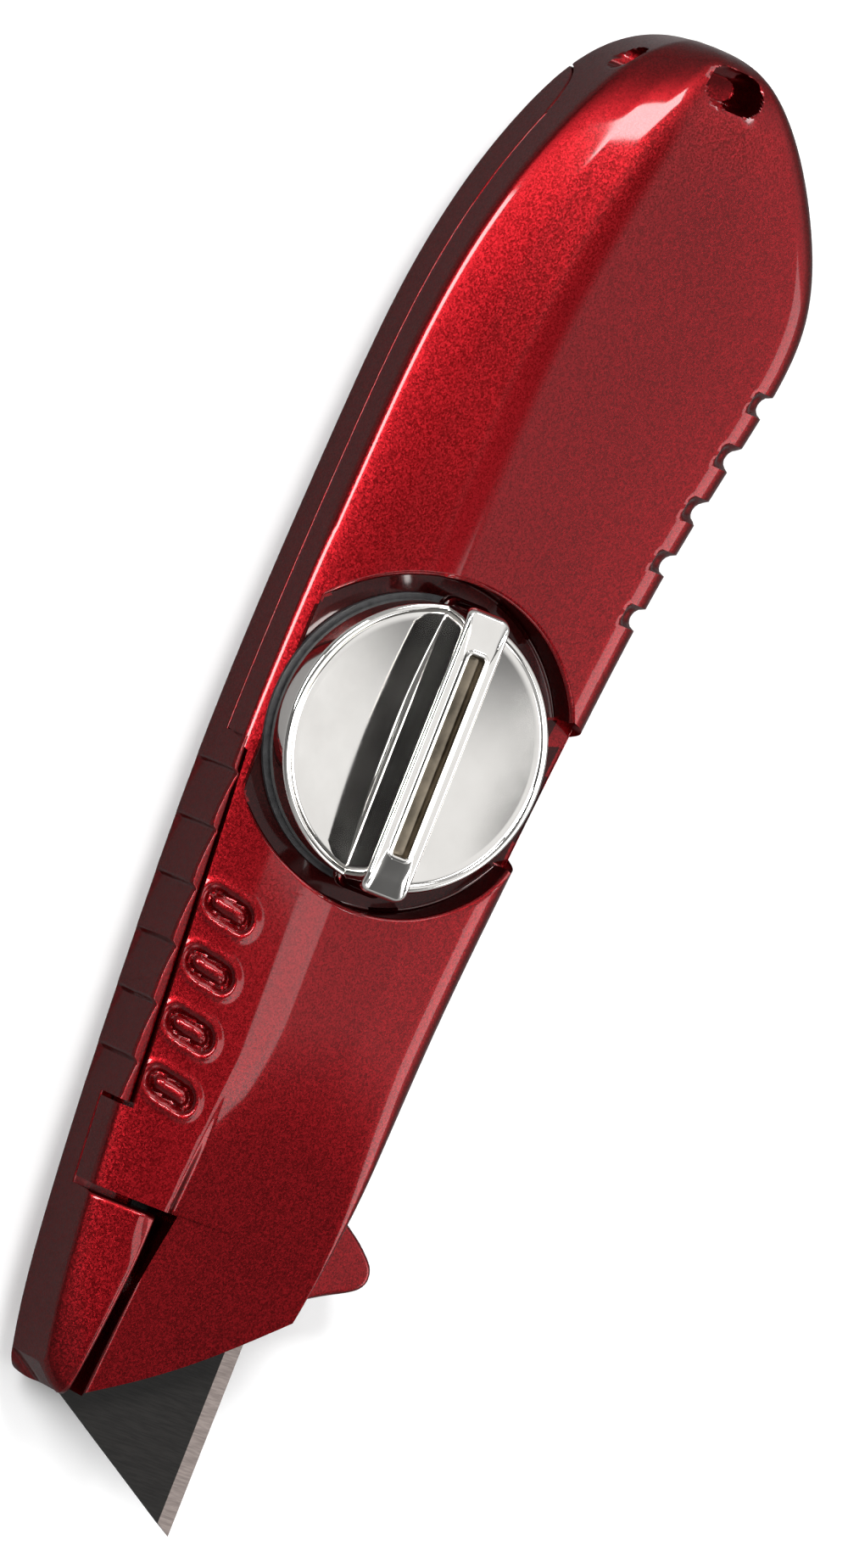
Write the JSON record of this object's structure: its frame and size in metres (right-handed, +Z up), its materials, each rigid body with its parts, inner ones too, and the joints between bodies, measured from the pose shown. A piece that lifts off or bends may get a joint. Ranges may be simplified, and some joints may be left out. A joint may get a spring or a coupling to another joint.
{
  "type": "utility knife",
  "caption": "Fixed-blade utility knife with a red metal handle, a chrome lock dial, a hinged front shell and a trapezoid blade.",
  "frame": {"origin": "on the flat back, under the axis of the lock dial", "axes": "+X to the butt with the blade tip at -X, +Y to the thumb side (spine), -Y to the cutting edge, +Z up through the dial"},
  "size_m": [0.1688, 0.0431, 0.0251],
  "materials": {
    "painted_red": "metallic red lacquer over die-cast metal",
    "chrome": "polished chrome plate",
    "steel": "plain steel",
    "zinc_screw": "bright zinc plate",
    "nylon": "black nylon",
    "blade_black": "black-coated carbon steel with a ground edge",
    "magnet": "nickel plate",
    "rubber": "matt"
  },
  "bodies": {
    "handle": {"back_shell": "painted_red", "lock_plate": "steel", "lock_plate_screws": "zinc_screw", "hinge_pin": "steel", "blade": "blade_black", "blade_magnet": "magnet", "blade_locating_pins": "steel", "spare_blade_tray": "nylon", "spare_blade_spring": "steel", "spare_blade_1": "blade_black", "spare_blade_2": "blade_black", "spare_blade_3": "blade_black", "tray_screws": "zinc_screw"},
    "cover": {"front_shell": "painted_red", "hinge_bushes": "nylon", "blade_pad": "rubber", "dial_washer": "nylon", "detent_ball": "steel", "detent_spring": "steel"},
    "dial_body": {"dial": "chrome", "dial_spindle": "steel", "spindle_clip": "steel", "wave_washer": "steel"}
  },
  "joints": [
    {"name": "cover_hinge", "type": "hinge", "parent": "handle", "child": "cover", "pos_m": [0.0677, -0.0065, 0.0038], "axis": [0, 1, 0], "range_deg": [0, 40]},
    {"name": "dial_turn", "type": "hinge", "parent": "cover", "child": "dial_body", "pos_m": [0, 0, 0.0175], "axis": [0, 0, 1], "range_deg": [-90, 0]}
  ]
}
